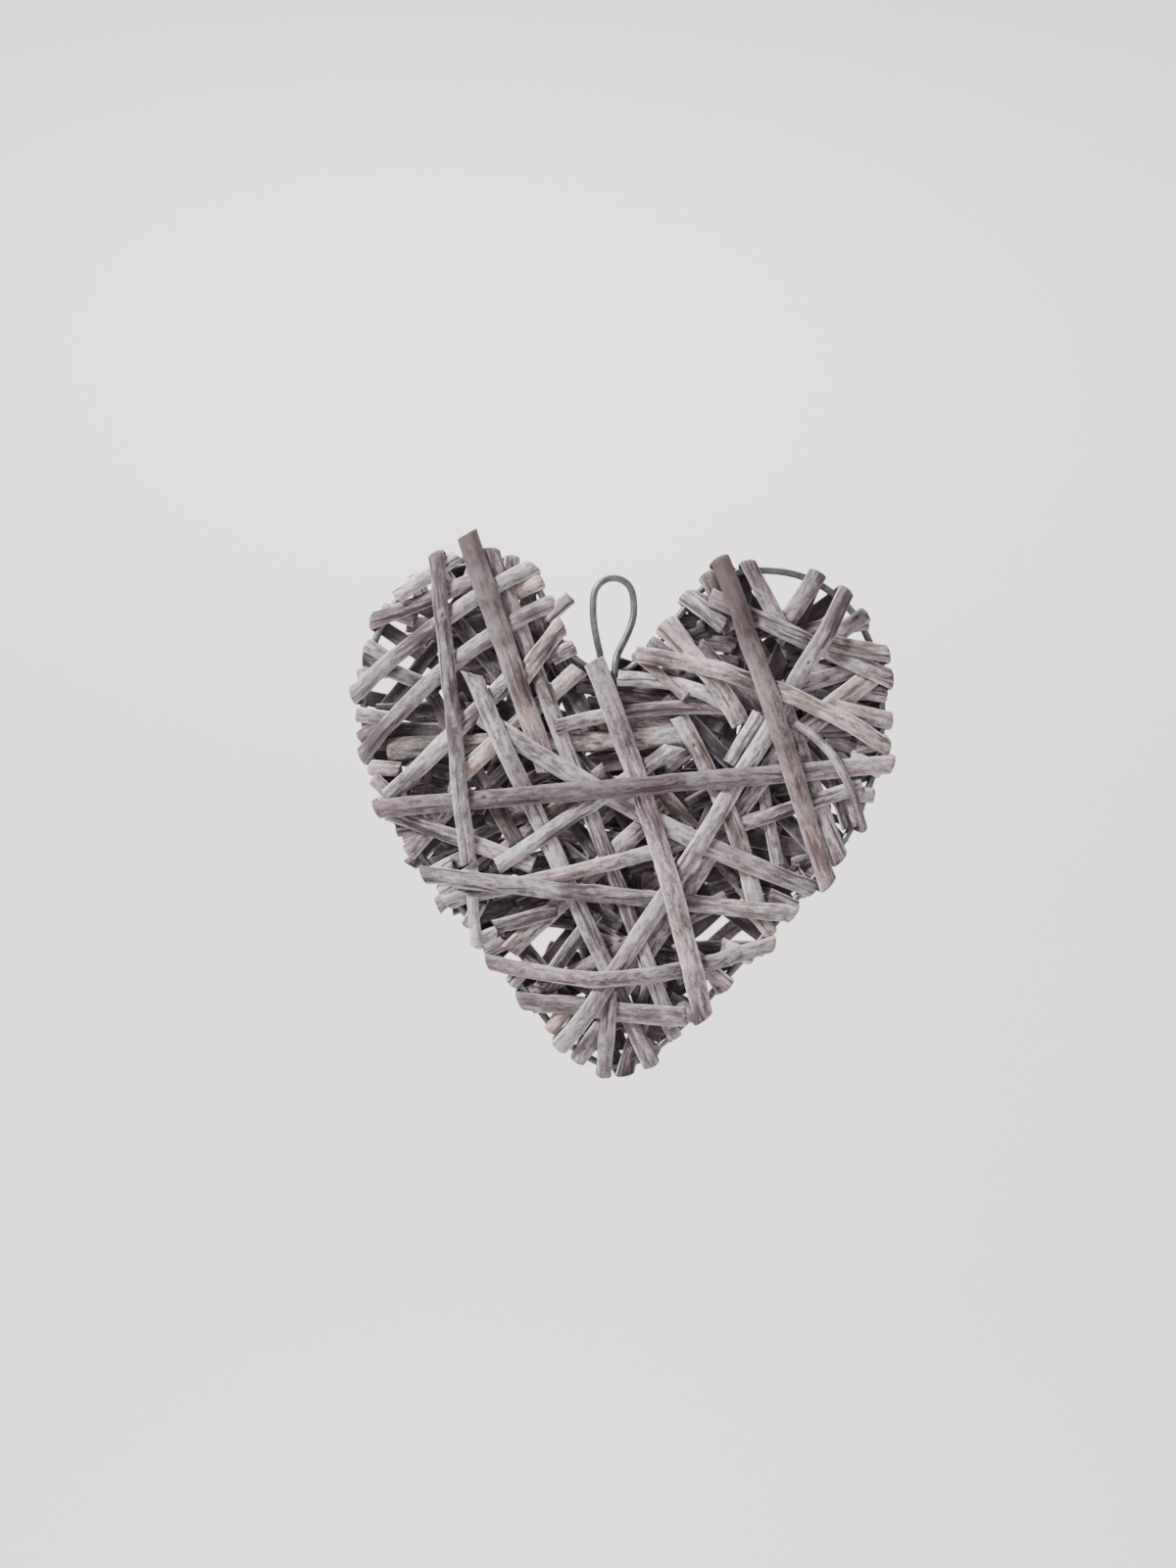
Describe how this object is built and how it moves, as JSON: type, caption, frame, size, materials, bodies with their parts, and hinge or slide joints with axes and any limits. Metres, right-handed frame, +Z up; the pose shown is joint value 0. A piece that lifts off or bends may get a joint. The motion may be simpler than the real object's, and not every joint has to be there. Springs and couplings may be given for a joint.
{
  "type": "wicker heart",
  "caption": "Heart for a wall, of weathered willow splits wound over one another round a heart-shaped wire, with a wire loop that hangs on a nail.",
  "frame": {"origin": "inside the top of the hanging loop, where the nail bears, in the plane of the heart's wire", "axes": "+Z up as the heart hangs, -Y out of its front towards the viewer, +X to the viewer's right"},
  "size_m": [0.2256, 0.0444, 0.2269],
  "materials": {
    "grey_willow": "weathered split willow, dry and matt, with a thin whitewash worn off along the grain",
    "violet_willow": "weathered split willow, matt, its grey gone a little violet",
    "white_willow": "weathered split willow with more of the whitewash left",
    "brown_willow": "weathered split willow, matt, worn back to brown wood",
    "tan_willow": "weathered split willow, matt, with tan patches under the whitewash",
    "dark_willow": "weathered split willow deep in the winding, darkened and matt",
    "wire": "drawn steel wire, mid grey and half glossy"
  },
  "bodies": {
    "root": {"wire_frame": "wire", "hanging_loop": "wire", "centre_rod": "violet_willow", "rear_tuck_left": "dark_willow", "rear_tuck_low_left": "dark_willow", "left_shoulder_tuck": "dark_willow", "left_shoulder": "violet_willow", "top_left_edge": "white_willow", "point_tuck": "dark_willow", "low_rise": "brown_willow", "low_left_tuck": "dark_willow", "low_left_rise": "dark_willow", "low_right_tuck": "violet_willow", "right_top_slant": "grey_willow", "right_top_drop": "violet_willow", "right_shoulder_tuck": "grey_willow", "right_inner_drop": "brown_willow", "right_inner_edge": "white_willow", "right_slip": "violet_willow", "right_rise": "tan_willow", "right_side": "tan_willow", "right_low_slip": "dark_willow", "right_drop": "violet_willow", "short_upright": "violet_willow", "right_long_fall": "violet_willow", "right_cross_end": "grey_willow", "knotted_fall": "tan_willow", "low_left_slant": "violet_willow", "left_stub": "violet_willow", "left_low_cross": "grey_willow", "left_rise": "grey_willow", "notch_fall": "tan_willow", "long_left_fall": "grey_willow", "middle_cross": "violet_willow", "notch_cross": "white_willow", "notch_slip": "brown_willow", "right_lobe_fall": "tan_willow", "pale_stub": "white_willow", "right_top_cross": "grey_willow", "right_shoulder": "tan_willow", "top_left_rise": "grey_willow", "left_long_rise": "grey_willow", "notch_slant": "tan_willow", "proud_upright": "tan_willow", "middle_fall": "grey_willow", "long_centre_fall": "grey_willow", "centre_rise": "white_willow", "low_cross_rise": "grey_willow", "left_tip": "white_willow", "low_cross": "grey_willow", "point_cross": "violet_willow", "point_upright": "grey_willow", "long_right_fall": "grey_willow", "right_bow": "tan_willow", "low_bow": "violet_willow", "broad_upright": "violet_willow", "long_cross": "violet_willow", "right_curl": "white_willow", "right_upright": "tan_willow", "left_upright": "grey_willow"}
  },
  "joints": []
}
